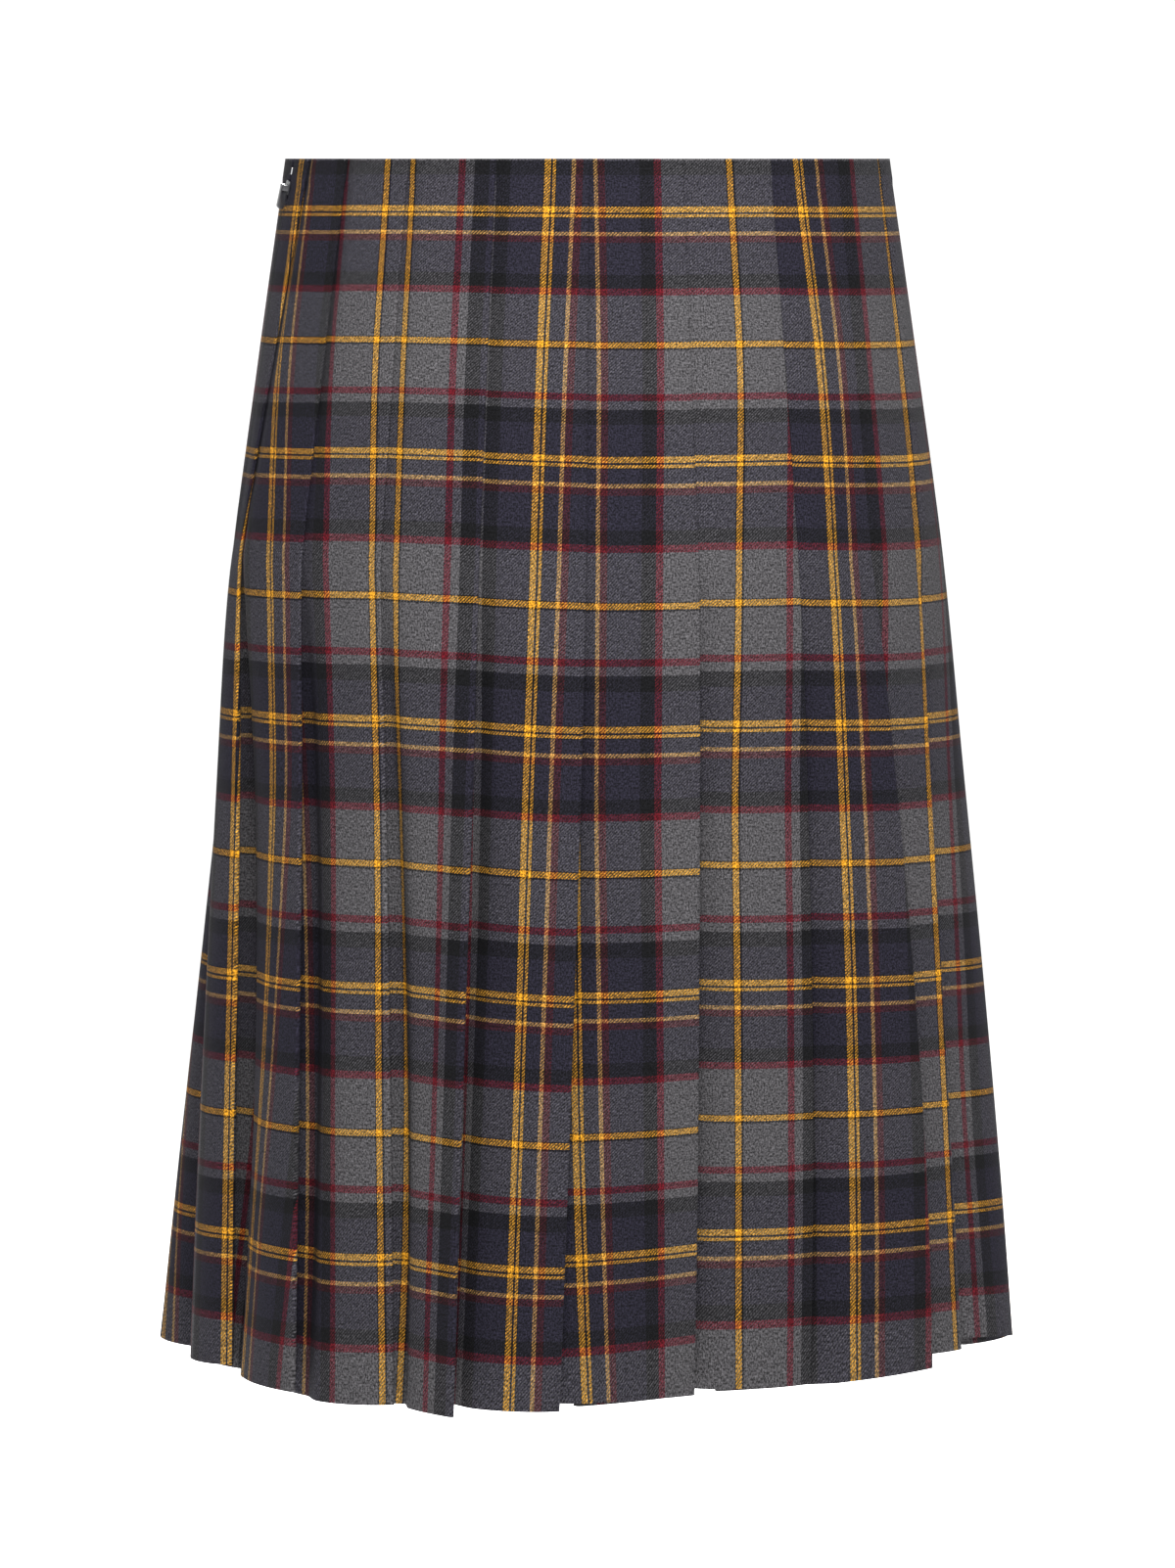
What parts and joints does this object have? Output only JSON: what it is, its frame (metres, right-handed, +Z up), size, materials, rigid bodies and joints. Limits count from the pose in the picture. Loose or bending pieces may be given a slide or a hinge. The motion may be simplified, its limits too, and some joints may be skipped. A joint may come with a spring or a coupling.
{
  "type": "pleated skirt",
  "caption": "Knee-length knife-pleated wool tartan skirt, pleats stitched flat to the hip and open below, with a concealed side zip, hanging open and hollow from its waist.",
  "frame": {"origin": "middle of the skirt at its waist edge, where the wearer holds it up", "axes": "+Z up, out of the waist; the front of the skirt faces -Y; +X is right in a front view, so the zip side is -X"},
  "size_m": [0.4234, 0.3303, 0.585],
  "materials": {
    "tartan_wool": "matte wool twill in a grey, navy, black, burgundy and yellow tartan",
    "zip_tape": "black woven tape with a nylon coil",
    "black_enamel": "glossy black enamel",
    "zip_metal": "bright nickel"
  },
  "bodies": {
    "skirt": {"front_panel": "tartan_wool", "back_panel": "tartan_wool", "zip_strip": "zip_tape", "zip_slider": "black_enamel", "zip_top_stop": "zip_metal"},
    "pull": {"zip_pull": "black_enamel"}
  },
  "joints": [
    {"name": "pull_swing", "type": "hinge", "parent": "skirt", "child": "pull", "pos_m": [-0.14569, -0.02774, -0.0136], "axis": [-0.3263, 0.9254, 0.1925], "range_deg": [0, 120]}
  ]
}
